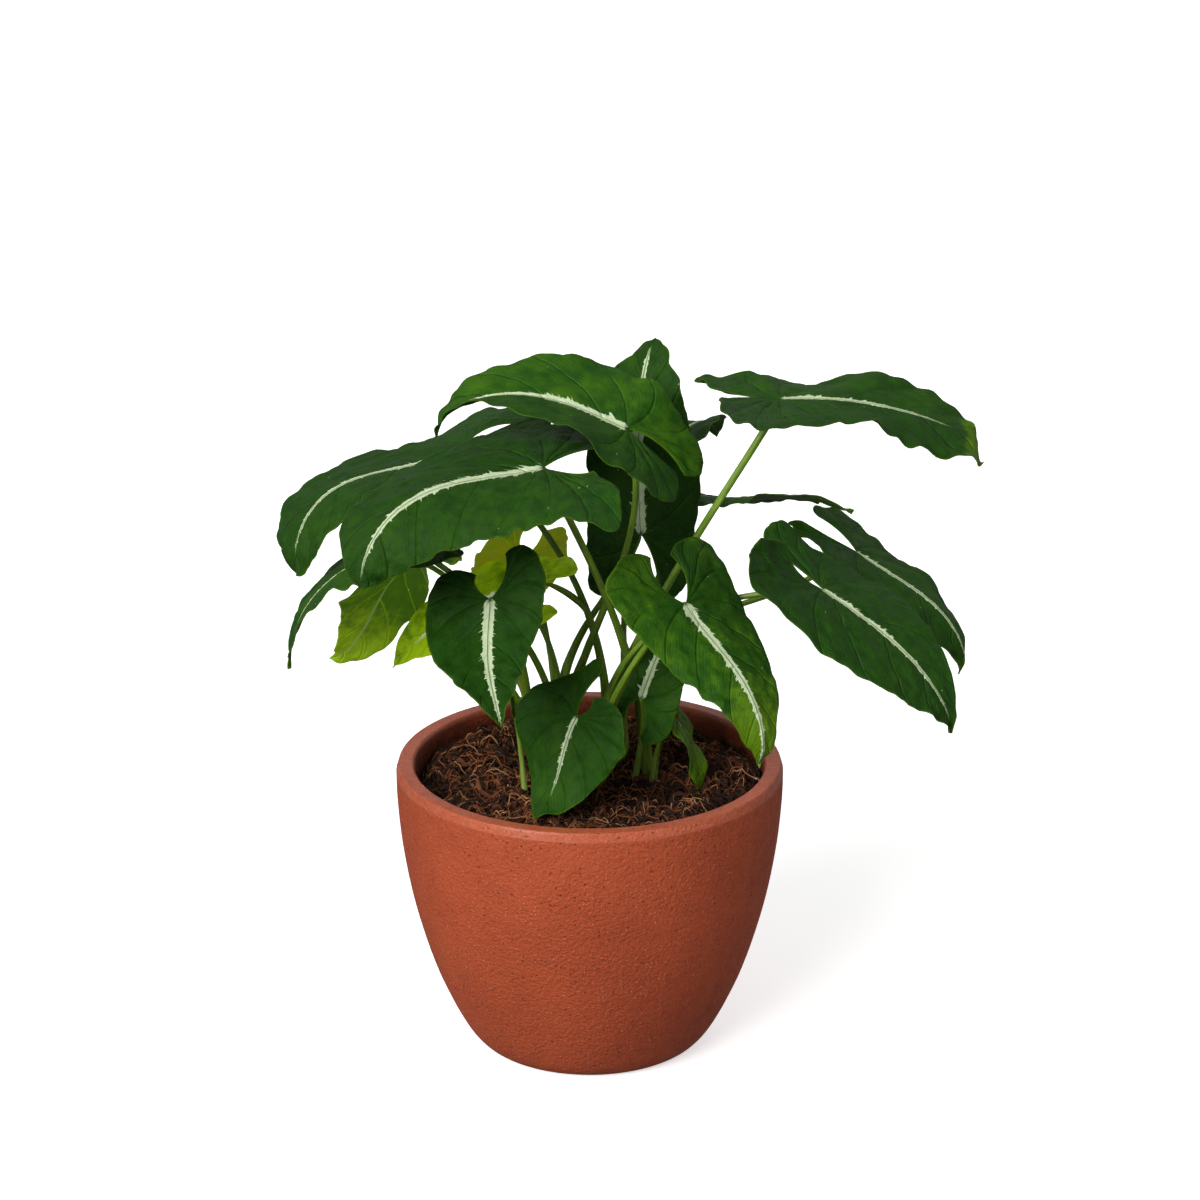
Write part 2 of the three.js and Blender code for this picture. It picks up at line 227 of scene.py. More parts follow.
# joins points that lie in the same place: a face that loses one corner becomes a triangle, and one
# that loses more, or closes on itself, is dropped
def weld(points, faces, fields, near=1e-6):
    keys = np.round(points / near).astype(np.int64)
    _, keep, place = np.unique(keys, axis=0, return_index=True, return_inverse=True)
    faces = place.ravel()[faces]
    distinct = faces != np.roll(faces, 1, axis=1)
    corners = distinct.sum(1)
    whole = faces[(corners == 4) & (faces[:, 0] != faces[:, 2]) & (faces[:, 1] != faces[:, 3])]
    narrow = faces[corners == 3][distinct[corners == 3]].reshape(-1, 3)
    fields = {name: values[keep] for name, values in fields.items()}
    return points[keep], whole.tolist() + narrow.tolist(), fields


# a curve through the given points: each stretch is the cubic whose end slopes are half the step
# between its neighbours
def through(points, share):
    points = np.asarray(points, float)
    last = len(points) - 1
    place = np.clip(share, 0, 1) * last
    start = np.minimum(place.astype(int), last - 1)
    k = (place - start)[:, None]
    before, a, b, after = (points[np.clip(start + step, 0, last)] for step in (-1, 0, 1, 2))
    slopeA, slopeB = (b - before) / 2, (after - a) / 2
    cubic = (2 * a - 2 * b + slopeA + slopeB) * k**3
    return cubic + (3 * b - 3 * a - 2 * slopeA - slopeB) * k**2 + slopeA * k + a


def smooth(value, low, high):
    share = np.clip((value - low) / (high - low), 0, 1)
    return share * share * (3 - 2 * share)


def between(limits, share):
    return limits[0] + (limits[1] - limits[0]) * share


# smooth random values on a flat or solid grid of cells, from 0 to 1: random corners, eased between
def softNoise(where, seed):
    cell = np.floor(where).astype(np.int64)
    part = where - cell
    part = part * part * (3 - 2 * part)
    total = np.zeros(where.shape[:-1])
    primes = np.array([73856093, 19349663, 83492791])[: where.shape[-1]]
    for corner in np.ndindex(*(2,) * where.shape[-1]):
        mixed = ((cell + corner) * primes).sum(-1) + seed * 2654435
        mixed = (mixed ^ (mixed >> 13)) * 1274126177
        value = ((mixed ^ (mixed >> 16)) & 65535) / 65535
        weight = np.prod(np.where(corner, part, 1 - part), axis=-1)
        total += value * weight
    return total


# a tube round a line of points: rings across the line, turned so that they never twist
def tube(line, radius, sides, across, shape=None):
    line = np.asarray(line, float)
    ahead = np.gradient(line, axis=0)
    ahead /= np.linalg.norm(ahead, axis=1)[:, None]
    over = across - (ahead @ across)[:, None] * ahead
    over /= np.linalg.norm(over, axis=1)[:, None]
    beside = np.cross(ahead, over)
    angle = turns(sides)
    reach = np.broadcast_to(np.asarray(radius, float).reshape(-1, 1), (len(line), sides)).copy()
    if shape is not None:
        reach *= shape
    cosine, sine = np.cos(angle)[None, :, None], np.sin(angle)[None, :, None]
    ring = cosine * over[:, None] + sine * beside[:, None]
    points = line[:, None] + reach[..., None] * ring
    faces = gridFaces(len(line), sides, closed=True)
    lid = [list(range(sides))[::-1], [(len(line) - 1) * sides + i for i in range(sides)]]
    return points.reshape(-1, 3), faces.tolist() + lid


# pot

pot = dict(
    outside=((0, 0), (44, 0), (45.2, 0), (46.8, 0.7), (48.9, 2.4), (51.9, 6.1), (55.5, 12.2), (59.7, 20.8),
             (64.8, 33), (69.9, 48.9), (74.5, 67.2), (78, 88), (79.7, 106.4), (80, 117.6), (80, 118.6)),
    rim=((79.9, 119.1), (79.1, 121.8), (78.7, 122.2), (78.2, 122.3), (74, 122.3), (73.2, 122.1),
         (72.6, 121.5)),
    inside=((72.2, 120.6), (72, 110), (70.4, 88), (67.2, 68), (62.8, 50), (57.4, 34), (50.6, 21), (43, 12.5),
            (34, 9), (0, 9)),
    rows=dict(outside=90, rim=25, inside=60), around=256,
    wobble=((0.0012, 2, 0.7), (0.0006, 5, 0)),  # share of the radius, waves round the pot, start
    clay=(0.5, 0.086, 0.028, 1), clayDark=(0.34, 0.052, 0.018, 1), clayPale=(0.62, 0.16, 0.076, 1),
    # insideShade is the colour of the painted shade on the wall inside
    speckPale=(0.82, 0.31, 0.18, 1), speckDark=(0.15, 0.026, 0.012, 1), insideShade=(0.09, 0.021, 0.009, 1),
    specks=520, grain=1100, pits=640,  # to the metre
)


# clouded clay with a fine grain, pale and dark specks, worm-like pits and a rubbed, smoother rim;
# the wall inside is darkened by painted shade, most strongly below the rim
def clayPaint():
    paint = Paint("clay", IOR=1.45, Coat_Roughness=0.3, Specular_IOR_Level=0.35)
    spot = paint.spot()
    x, y, height = paint.apart(spot)
    broad = paint.noise(spot, 22, 3)
    cloud = paint.noise(spot, 140, 3, 0.6)
    grain = paint.noise(spot, pot["grain"], 3, 0.7)
    shade = paint.ease(broad, 0.35, 0.65) * 0.45 + paint.ease(cloud, 0.4, 0.7) * 0.25
    colour = paint.mix(shade, pot["clay"], pot["clayDark"])
    speck = paint.cells(spot, pot["specks"])
    kind = paint.apart(paint.cells(spot, pot["specks"], "Color"))[0]
    pale = paint.ease(speck, 0.24, 0.10) * paint.ease(kind, 0.55, 0.6)
    dark = paint.ease(speck, 0.26, 0.10) * paint.ease(kind, 0.22, 0.18)
    rubbed = paint.ease(height, 0.1172, 0.1200) * paint.ease(paint.noise(spot, 300, 3, 0.7), 0.25, 0.75)
    colour = paint.mix(paint.ease(grain, 0.42, 0.68) * 0.26, colour, pot["clayPale"])
    colour = paint.mix(paint.ease(grain, 0.46, 0.3) * 0.4, colour, pot["clayDark"])
    colour = paint.mix(rubbed * 0.55, colour, pot["clayPale"])
    colour = paint.mix(pale * 0.6, colour, pot["speckPale"])
    colour = paint.mix(dark * 0.35, colour, pot["speckDark"])
    # painted shade: the inside wall under the rim is darkened as if in shadow, more so lower down
    inner = paint.ease((x * x + y * y) ** 0.5, 0.0734, 0.0722) * paint.ease(height, 0.1, 0.104)
    shadeDepth = paint.ease(height, 0.121, 0.114) * 0.35 + 0.45 + paint.ease(cloud, 0.35, 0.65) * 0.15
    colour = paint.mix(inner * shadeDepth, colour, pot["insideShade"])
    relief = paint.noise(spot, pot["pits"], 3, 0.65) * 1.1 - dark * 0.9 + pale * 0.3 + grain * 0.5
    rim = paint.ease(height, 0.1165, 0.1195)
    rough = paint.ease(cloud, 0.3, 0.7) * 0.12 + 0.54 - rim * 0.18
    return paint.finish(
        Base_Color=colour, Roughness=rough, Normal=paint.bump(relief, 1.0, 0.0008), Coat_Weight=rim * 0.45)


# the pot turns a profile round the upright axis; its radius swells and dips by a tenth of a millimetre
def makePot():
    parts = [through(pot[part], np.linspace(0, 1, rows)) for part, rows in pot["rows"].items()]
    profile = np.concatenate(parts)
    angle = turns(pot["around"])
    wobble = 1 + sum(size * np.sin(waves * angle + start) for size, waves, start in pot["wobble"])
    radius = profile[1:-1, :1] * wobble
    height = np.broadcast_to(profile[1:-1, 1:], radius.shape)
    rings = np.stack([radius * np.cos(angle), radius * np.sin(angle), height], -1).reshape(-1, 3)
    points = np.concatenate([rings, [[0, 0, 0], [0, 0, pot["inside"][-1][1]]]])
    faces = closedFaces(len(height), pot["around"])
    addPiece("terracotta_pot", points * mm, faces, clayPaint(), ["pot"])
    print("pot made")


# coir soil

soil = dict(
    level=111.5, mounds=((-28, 42, 4, 28), (60, 8, 3, 16), (22, 45, 2, 22)),  # x, y, rise, spread
    wall=((50, 21.3), (56.8, 34.3), (62.2, 50.3), (66.6, 68.3), (69.8, 88.3), (71.3, 105)), floor=9.3,
    rings=120, around=240, clumps=((10, 5.4), (4.2, 4.0), (1.6, 1.4), (0.6, 0.4)),  # cell, height
    dark=(0.008, 0.0034, 0.0018, 1), brown=(0.042, 0.016, 0.0065, 1), crumb=(0.14, 0.06, 0.03, 1),
)


# height of the soil without its clumps: a level, three low mounds and a slight unevenness
def soilHeight(x, y):
    height = soil["level"] + 0.7 * np.sin(0.21 * x + 1) * np.sin(0.25 * y)
    for atX, atY, rise, spread in soil["mounds"]:
        height = height + rise * np.exp(-((x - atX) ** 2 + (y - atY) ** 2) / spread**2)
    return height


# the same with clumps: four sizes of smooth noise, ridged so that hollows are wide and tops narrow
def clumpHeight(x, y):
    where = np.stack([x, y], -1)
    warp = np.stack([softNoise(where / 4, 21), softNoise(where / 4, 22)], -1) * 3
    height = soilHeight(x, y)
    for index, (cell, rise) in enumerate(soil["clumps"]):
        value = softNoise((where + warp) / cell, 30 + index)
        height = height + rise * ((1 - np.abs(2 * value - 1)) - 0.62)
    return height


def soilPaint():
    paint = Paint("coir_soil", Roughness=0.95, Specular_IOR_Level=0.2)
    spot = paint.spot()
    colour = paint.mix(paint.ease(paint.noise(spot, 330, 4, 0.7), 0.35, 0.68), soil["dark"], soil["brown"])
    colour = paint.mix(paint.ease(paint.noise(spot, 1700, 2, 0.7), 0.55, 0.75) * 0.6, colour, soil["crumb"])
    return paint.finish(Base_Color=colour, Normal=paint.bump(paint.noise(spot, 900, 4, 0.75), 0.9, 0.0012))


# the soil is a round grid: up the pot's wall, then inwards over the clumps to the middle
def makeSoil():
    wall = np.array(soil["wall"])
    outer = wall[-1, 0]
    inwards = outer * np.linspace(0.992, 0, soil["rings"])[:-1]
    radius = np.concatenate([wall[:, 0], [outer, outer - 0.25], inwards])
    turn = turns(soil["around"])
    x, y = radius[:, None] * np.cos(turn), radius[:, None] * np.sin(turn)
    z = clumpHeight(x, y)
    z[: len(wall)] = wall[:, 1:]
    z[len(wall)] -= 1.5
    rings = np.stack([x, y, z], -1).reshape(-1, 3)
    middle = clumpHeight(np.zeros(1), np.zeros(1))[0]
    points = np.concatenate([rings, [[0, 0, soil["floor"]], [0, 0, middle]]])
    faces = closedFaces(len(radius), soil["around"])
    addPiece("coir_soil", points * mm, faces, soilPaint(), ["soil"])
    print("soil made")


# loose strands: how many, length, radius and rise in mm, rings along and corners round each one, how
# far it turns, its shades from dark to pale, and how far one end may stand up
coir = dict(
    coir_fibres=dict(count=3000, seed=11, length=(6, 23), thick=(0.16, 0.42), lift=(0.3, 5.5),
                     steps=11, sides=3, turn=6.0, shades=(0.1, 1.15), tilt=5.0),
    coir_shreds=dict(count=2000, seed=12, length=(1.5, 7), thick=(0.4, 1.1), lift=(0, 1.4),
                     steps=5, sides=5, turn=2, shades=(0, 0.62), tilt=2.5),
    coir_ropes=dict(count=420, seed=14, length=(6, 17), thick=(0.7, 1.6), lift=(0.3, 2.8),
                    steps=9, sides=6, turn=6, shades=(0.1, 0.65), tilt=5.0),
    perlite=dict(count=34, seed=13, length=(0.5, 1.1), thick=(0.3, 0.55), lift=(0.5, 1.6),
                 steps=4, sides=5, turn=1, shades=(0, 1), tilt=0.0),
)
coirColours = dict(
    dark=(0.013, 0.0045, 0.0018, 1), brown=(0.33, 0.1, 0.03, 1), pale=(0.58, 0.28, 0.12, 1),
    streak=(0.02, 0.0075, 0.0035, 1), white=(0.85, 0.82, 0.76, 1), grey=(0.6, 0.54, 0.46, 1),
)


def fibrePaint():
    paint = Paint("coir_fibre", Roughness=0.8, Specular_IOR_Level=0.3)
    pick, along, side = paint.apart(paint.attribute("strand"))
    colour = paint.mix(paint.ease(pick, 0.25, 0.85), coirColours["dark"], coirColours["brown"])
    colour = paint.mix(paint.ease(pick, 0.82, 1.1), colour, coirColours["pale"])
    streak = paint.noise(paint.together(pick * 90.0, along * 8.0, side * 40.0), 1.0, 3, 0.7)
    colour = paint.mix(paint.ease(streak, 0.35, 0.7) * 0.6, colour, coirColours["streak"])
    return paint.finish(Base_Color=colour, Normal=paint.bump(streak, 0.4, 0.0003))


def perlitePaint():
    paint = Paint("perlite", Roughness=0.8)
    spot = paint.spot()
    colour = paint.mix(paint.noise(spot, 900, 2), coirColours["white"], coirColours["grey"])
    return paint.finish(Base_Color=colour, Normal=paint.bump(paint.noise(spot, 2500, 2), 0.5, 0.0003))


# many short strands as one mesh: each runs along its own curve over the soil, arched and less so by
# the wall, with rings of corners whose distance from the curve is its radius
def makeStrands(name, kind, paint):
    chance = np.random.default_rng(kind["seed"])
    count, steps, sides = kind["count"], kind["steps"], kind["sides"]
    outer = soil["wall"][-1][0]
    away = np.sqrt(chance.random((count, 1))) * (outer - 2)
    bearing = chance.random((count, 1)) * 2 * np.pi
    startX, startY = away * np.cos(bearing), away * np.sin(bearing)
    share = np.linspace(0, 1, steps)
    length = between(kind["length"], chance.random((count, 1)) ** 1.8)
    body = between(kind["thick"], chance.random((count, 1)) ** 2)
    radius = body * (0.35 + 0.65 * np.sin(np.pi * (0.08 + 0.84 * share)) ** 0.6)
    radius = radius * (0.8 + 0.4 * chance.random((count, steps)))
    tilt = (chance.random((count, 1)) - 0.5) * kind["tilt"]
    lift = between(kind["lift"], chance.random((count, 1)) ** 2)
    heading = chance.random((count, 1)) * 6.28
    turning = (chance.random((count, 1)) - 0.5) * kind["turn"]
    angle = heading + turning * share + 0.35 * np.sin(share * 9 + heading * 7)
    step = length / (steps - 1)
    x = startX + np.cumsum(np.cos(angle) * step, 1) - np.cos(angle[:, :1]) * step * steps / 2
    y = startY + np.cumsum(np.sin(angle) * step, 1) - np.sin(angle[:, :1]) * step * steps / 2
    reach = np.hypot(x, y)
    limit = outer - 0.7
    shrink = np.minimum(1, limit / reach)
    x, y = x * shrink, y * shrink
    calm = 0.1 + 0.9 * smooth(limit - reach, 0, 12)
    z = clumpHeight(x, y) * 0.7 + soilHeight(x, y) * 0.3 + 0.15
    z = z + calm * (lift * np.sin(np.pi * share) ** 0.7 + tilt * (share - 0.3))
    line = np.stack([x, y, z], -1)
    ahead = np.gradient(line, axis=1)
    ahead /= np.linalg.norm(ahead, axis=2)[..., None]
    beside = np.cross(ahead, [0, 0, 1.0])
    beside /= np.linalg.norm(beside, axis=2)[..., None] + 1e-9
    over = np.cross(beside, ahead)
    ring = turns(sides)[:, None]
    across = np.cos(ring) * over[:, :, None] + np.sin(ring) * beside[:, :, None]
    points = line[:, :, None] + radius[..., None, None] * across
    first = np.arange(count)[:, None, None] * steps * sides
    lid = np.arange(sides)
    faces = (gridFaces(steps, sides, closed=True)[:, ::-1][None] + first).reshape(-1, 4).tolist()
    faces += (lid[None] + first[:, :, 0]).tolist()
    faces += (lid[::-1][None] + (steps - 1) * sides + first[:, :, 0]).tolist()
    # strands in the hollows are darker: painted shade where the clumps shade them
    standing = clumpHeight(startX, startY) - soilHeight(startX, startY)
    pick = between(kind["shades"], chance.random((count, 1))) * (0.45 + 0.55 * smooth(standing, -2.0, 1.0))
    strand = np.stack(np.broadcast_arrays(pick[..., None], share[:, None], lid / sides), -1).reshape(-1, 3)
    addPiece(name, points.reshape(-1, 3) * mm, faces, paint, fields=dict(strand=strand))


def makeCoir():
    fibre = fibrePaint()
    for name, kind in coir.items():
        makeStrands(name, kind, perlitePaint() if name == "perlite" else fibre)
    print("coir made")


# leaves: every pair is the right half, then the left half, seen from above with the tip ahead; a stalk
# is its foot in the soil, the two points that bend it, and its radius

leaves = {
    "top": dict(
        joint=(15, -2, 265), heading=(174, 181), pitch=(26, 4, -56), roll=(10, -13), length=87,
        halfWidth=(31, 30), lobeBack=(37, 30), lobeOut=(22, 29), fold=(22, -2), lobeLift=(-38, -34),
        curl=(0, -5), tipFold=4, notch=0.2, blunt=0.4, hook=3,
        billows=(((0.45, 0.14, 2),), ((0.2, 0.1, 2), (0.6, 0.1, -2))), fresh=(0.75, 0.2),
        stripe=(2.3, 0.97), stalk=((-14, 8), (-14, 8, 169), (32, -5, 215), 1.4)),
    "front_left": dict(
        joint=(-18, -29, 257), heading=(195, 239), pitch=(-8, -11, -84), roll=(7, 14), length=102,
        halfWidth=(42, 45), lobeBack=(37, 20), lobeOut=(40, 58), fold=(5, 11), lobeLift=(-20, -10),
        curl=(-14, -20), tipFold=-30, notch=0.8, sinus=(3, 7), blunt=0.9, hook=1, fresh=(0.1, 0.2),
        stripe=(2.8, 0.97), stalk=((24, 6), (27, 2, 161), (-4, -13, 221), 1.5)),
    "far_left": dict(
        joint=(-51, 38, 247), heading=(192, 241), pitch=(-32, -9, -109), roll=(-1, -13), length=104,
        halfWidth=(38, 38), lobeBack=(34, 36), lobeOut=(38, 37), fold=(2, 0), lobeLift=(-59, -13),
        curl=(-9, -7), tipFold=-4, notch=0.8, blunt=1.0, hook=0, fresh=(0.1, 0.2), stripe=(2.0, 0.93),
        stalk=((6, 12), (16, 14, 182), (-20, 22, 221), 1.3)),
    "lower_left": dict(
        joint=(-70, -26, 224), heading=(157, 208), pitch=(-15, -42, -95), roll=(7, -5), length=81,
        halfWidth=(27, 28), lobeBack=(29, 28), lobeOut=(26, 22), fold=(1, 5), wavy=1.1, fresh=(0.35, 0.45),
        stripe=(1.2, 0.85), stalk=((-18, -2), (-32, -15, 173), (-13, -36, 187), 1.2)),
    "hanging": dict(
        joint=(-70, 10, 206), heading=(173, 154), pitch=(-21, -64, -19), roll=(-11, -69), length=64,
        halfWidth=(29, 23), lobeBack=(16, 21), lobeOut=(28, 22), fold=(14, 5), lobeLift=(-74, -21),
        curl=(-3, -10), tipFold=-35, notch=0.2, wavy=1.2,
        billows=(((0.3, 0.15, -3),), ((0.5, 0.15, 4), (0.1, 0.1, -3))), lime=(0.1, 0.25),
        limeTip=(0.7, 0.2), stripe=(1.6, 0.8), stalk=((-17, 14), (-20, 35, 137), (-48, 45, 185), 1.1)),
    "inner_left": dict(
        joint=(-31, 0, 194), heading=(159, 178), pitch=(-11, -36, -52), roll=(20, 47), length=64,
        halfWidth=(23, 24), lobeBack=(24, 23), lobeOut=(25, 23), lobeLift=(-4, -10), notch=1.2,
        lime=(0.6, 0.75), stripe=(2.4, 0.8), stalk=((-9, -4), (-9, -3, 145), (-13, 0, 183), 1.1)),
    "left_heart": dict(
        joint=(-39, -42, 207), heading=(262, 289), pitch=(-65, -21, -51), roll=(-17, 0), length=64,
        halfWidth=(26, 23), lobeBack=(11, 22), lobeOut=(25, 22), lobeLift=(-5, -10), notch=0.7,
        sinus=(3, 3), fresh=(0.05, 0.05), stripe=(2.4, 1.0),
        stalk=((-12, -12), (-9, -9, 157), (-24, -18, 179), 1.3)),
    "old_yellow": dict(
        joint=(-27, 36, 198), heading=(111, 87), pitch=(-56, -46, -76), roll=(2, -2), length=62,
        halfWidth=(20, 22), lobeBack=(22, 25), lobeOut=(16, 20), lobeLift=(-18, -18), notch=0.7, wavy=1.2,
        aged=(0.9, 0.9), stripe=(1.2, 0.6), stalk=((-12, 16), (-13, 15, 153), (-20, 25, 187), 1.0)),
    "back_upright": dict(
        joint=(21, 22, 213), heading=(103, 68), pitch=(74, 65, 24), roll=(-28, 1), length=87,
        halfWidth=(30, 28), lobeBack=(28, 26), lobeOut=(26, 30), fold=(5, 9), lobeLift=(-10, -21),
        blunt=0.7, fresh=(0.15, 0.15), stripe=(2.8, 0.95),
        stalk=((-5, 19), (-28, 27, 159), (14, 22, 186), 1.3)),
    "back_tip": dict(
        joint=(25, 66, 236), heading=(44, 68), pitch=(4, 3, -68), roll=(17, 7), length=58,
        halfWidth=(20, 19), lobeBack=(21, 21), lobeOut=(19, 18), fold=(5, 11), fresh=(0.2, 0.2),
        stripe=(1.6, 0.8), stalk=((14, 22), (14, 25, 165), (12, 46, 223), 1.0)),
    "upper_right": dict(
        joint=(77, 4, 276), heading=(369, 361), pitch=(1, -15, -32), roll=(-1, -21), length=92,
        halfWidth=(33, 31), lobeBack=(30, 31), lobeOut=(44, 33), fold=(0, 5), lobeLift=(12, 22),
        curl=(2, -10), tipFold=-6, notch=0.2, sinus=(-3.5, 0), blunt=1.3, wavy=1.2, hook=9,
        billows=(((0.35, 0.12, 4.5), (0.72, 0.14, -3)), ((0.16, 0.1, -3), (0.45, 0.13, 3.5))),
        fresh=(0.1, 0.2), limeTip=(0.95, 0.76), stripe=(1.6, 0.8),
        stalk=((-8, 1), (17, 2, 186), (61, -1, 245), 1.5)),
    "level_right": dict(
        joint=(47, 66, 216), heading=(-16, -46), pitch=(-7, 11, -22), roll=(17, 24), length=73,
        halfWidth=(24, 25), lobeBack=(26, 26), lobeOut=(24, 24), fold=(-3, 1), fresh=(0.9, 0.9),
        lime=(0.3, 0.3), stripe=(1.8, 0.85), stalk=((10, 16), (14, 22, 155), (28, 39, 200), 1.0)),
    "right_back": dict(
        joint=(111, 39, 200), heading=(336, 335), pitch=(-30, -35, -102), roll=(1, -21), length=75,
        halfWidth=(28, 26), lobeBack=(28, 27), lobeOut=(26, 27), fold=(12, 2), lobeLift=(-4, -13),
        curl=(-11, -11), tipFold=-36, notch=1.1, hook=3, fresh=(0.2, 0.2), limeTip=(0.7, 0.78),
        stripe=(1.4, 0.97), stalk=((7, 7), (-3, 14, 197), (50, 15, 165), 1.2)),
    "right_front": dict(
        joint=(93, -24, 205), heading=(328, 345), pitch=(-23, -39, -76), roll=(6, -33), length=81,
        halfWidth=(38, 33), lobeBack=(28, 37), lobeOut=(40, 27), lobeLift=(45, 12), curl=(-10, -6),
        tipFold=-13, notch=0.3, sinus=(2.6, 2.0), hook=3, fresh=(0.1, 0.15), stripe=(1.6, 0.96),
        stalk=((5, -7), (-5, -11, 169), (27, -15, 202), 1.2)),
    "centre_right": dict(
        joint=(38, -42, 205), heading=(319, 302), pitch=(-47, -41, -118), roll=(-5, 2), length=78,
        halfWidth=(28, 26), lobeBack=(27, 25), lobeOut=(31, 30), fold=(0, 5), lobeLift=(19, 4),
        tipFold=-27, notch=0.6, sinus=(4, 4), hook=2, fresh=(0.7, 0.3), lime=(0.2, 0.15),
        limeTip=(0.6, 0.35), stripe=(2.1, 1.03), stalk=((-3, -12), (0, -14, 150), (26, -31, 190), 1.4)),
    "front_low": dict(
        joint=(-5, -33, 154), heading=(214, 243), pitch=(-49, -67, -1), roll=(20, -6), length=47,
        halfWidth=(28, 27), lobeBack=(24, 12), lobeOut=(12, 20), fold=(5, 0), lobeLift=(-10, -2),
        tipFold=-25, notch=0.3, fresh=(0.25, 0.3), stripe=(1.2, 0.75),
        stalk=((-7, -22), (-7, -23, 126), (-6, -27, 146), 1.0)),
    "shaded": dict(
        joint=(21, -13, 154), heading=(45, 40), pitch=(62, 55, 30), roll=(-25, -20), length=46,
        halfWidth=(16, 11), lobeBack=(18, 10), lobeOut=(16, 9), lobeLift=(8, 8), fresh=(0.25, 0.15),
        stripe=(1.8, 0.9), stalk=((17, -2), (19, -2, 120), (24, -3, 141), 0.9)),
    "small_hanging": dict(
        joint=(36, -8, 143), heading=(324, 315), pitch=(-57, -65, -115), roll=(14, 6), length=34,
        halfWidth=(11, 11), lobeBack=(12, 12), lobeOut=(11, 11), fold=(5, -2), curl=(-10, -14), tipFold=5,
        wavy=1.6, billows=(((0.3, 0.12, 3), (0.65, 0.12, -3)), ((0.3, 0.12, -3), (0.65, 0.12, 3))),
        fresh=(0.8, 0.8), lime=(0.7, 0.7), stripe=(0.25, 0.4),
        stalk=((25, -4), (26, -4, 125), (29, -4, 137), 0.8)),
    "young": dict(
        joint=(-30, -14, 147), heading=(120, 120), pitch=(70, 60, 40), roll=(0, 0), length=16,
        halfWidth=(4, 4), lobeBack=(3, 3), lobeOut=(3, 3), fold=(40, 40), lobeLift=(0, 0), curl=(0, 0),
        lime=(0.7, 0.7), stripe=(0.3, 0.5), stalk=((-26, -15), (-27, -15, 123), (-29, -12, 140), 0.8)),
}

blade = dict(
    thickness=0.5, edge=1.1,  # mm, and how far in the margin thins
    columns=(40, 1.0), rows=(9, 0.6),  # of one half: at least, and per mm of length or width
    notchEnd=2 / 9, veinSlant=0.8, spineSteps=24, reference=65,  # leaves under this length are waved less
    veins=12.6, veinBend=0.6,  # veins along the whole outline, and how they curve at the margin
    # how far the margin moves in its own plane, then the height of waves and relief, with their lengths
    swells=(1.0, 7.5), nicks=(0.35, 2.8), notches=(0.9, 4.5),
    slowWave=(2.2, 17), quickWave=(1.2, 5.5), quilt=0.5, pucker=1.1, puckers=(5.5, 3.6),
    channel=(0.45, 1.5), ridge=(0.8, 0.9),  # depth above and below the midrib, and width
)


# half a flat leaf's outline: the joint, round the back lobe, the shoulder, the side, the tip;
# x runs along the midrib and y away from it
def halfOutline(leaf, half, share):
    length, back = leaf["length"], leaf["lobeBack"][half]
    width, out, notch = leaf["halfWidth"][half], leaf["lobeOut"][half], leaf.get("notch", 1)
    blunt = leaf.get("blunt", 0.2)
    corners = (
        (0, 0), (-0.3 * back, 0.12 * out * notch), (-0.82 * back, 0.33 * out * notch), (-back, 0.62 * out),
        (-0.62 * back, out), (0.12 * length, width), (0.45 * length, (0.74 + 0.05 * blunt) * width),
        (0.75 * length, (0.36 + 0.17 * blunt) * width), (0.93 * length, (0.08 + 0.17 * blunt) * width),
        (length, 0),
    )
    return through(corners, share)


# directions at a share of the midrib: ahead, to the right and up out of the blade; the heading
# and roll change evenly, and the pitch passes through its three values
def midribFrame(leaf, share):
    share = np.asarray(share, float)
    heading = np.radians(between(leaf["heading"], share))
    start, middle, end = leaf["pitch"]
    first, last = (1 - share) * (1 - 2 * share), share * (2 * share - 1)
    pitch = np.radians(start * first + middle * 4 * share * (1 - share) + end * last)
    roll = np.radians(between(leaf["roll"], share))[..., None]
    ahead = np.stack([np.cos(pitch) * np.cos(heading), np.cos(pitch) * np.sin(heading), np.sin(pitch)], -1)
    flat = np.stack([np.sin(heading), -np.cos(heading), 0 * heading], -1)
    raised = np.cross(flat, ahead)
    return ahead, np.cos(roll) * flat + np.sin(roll) * raised, np.cos(roll) * raised - np.sin(roll) * flat


def midribPoints(leaf, share):
    steps = blade["spineSteps"]
    ahead = midribFrame(leaf, (np.arange(steps) + 0.5) / steps)[0]
    points = np.concatenate([[[0, 0, 0]], np.cumsum(ahead, 0) * leaf["length"] / steps]) + leaf["joint"]
    known = np.linspace(0, 1, steps + 1)
    return np.stack([np.interp(share, known, points[:, axis]) for axis in range(3)], -1)


# a flat point of the blade in space: along the midrib, behind the joint along a line that bends
# with the back lobe, and out sideways at the fold angle, which grows with the curl
def placeOnLeaf(leaf, half, x, y):
    share = np.clip(x / leaf["length"], 0, 1)
    ahead, right, up = midribFrame(leaf, share)
    behind = np.minimum(x, 0)
    bend = np.radians(leaf.get("lobeLift", (-10, -10))[half]) * -behind / leaf["lobeBack"][half] / 2
    along = behind * np.cos(bend)
    drop = behind * np.sin(bend)
    base = midribPoints(leaf, share) + along[..., None] * ahead - drop[..., None] * up
    fold = leaf.get("fold", (5, 5))[half] + leaf.get("tipFold", 0) * share
    fold = np.radians(fold + leaf.get("curl", (-10, -10))[half] * y / leaf["halfWidth"][half] / 2)
    side = 1 if half == 0 else -1
    point = base + (side * y * np.cos(fold))[..., None] * right + (y * np.sin(fold))[..., None] * up
    thick = np.cos(2 * bend)[..., None] * up + np.sin(2 * bend)[..., None] * ahead
    return point, thick


# smooth noise along one line, from -size to size, with cells of the given length
def ripple(sizeAndCell, where, seed):
    size, cell = sizeAndCell
    where = where / cell
    return size * (2 * softNoise(np.stack([where, np.full_like(where, seed * 1.7)], -1), seed) - 1)


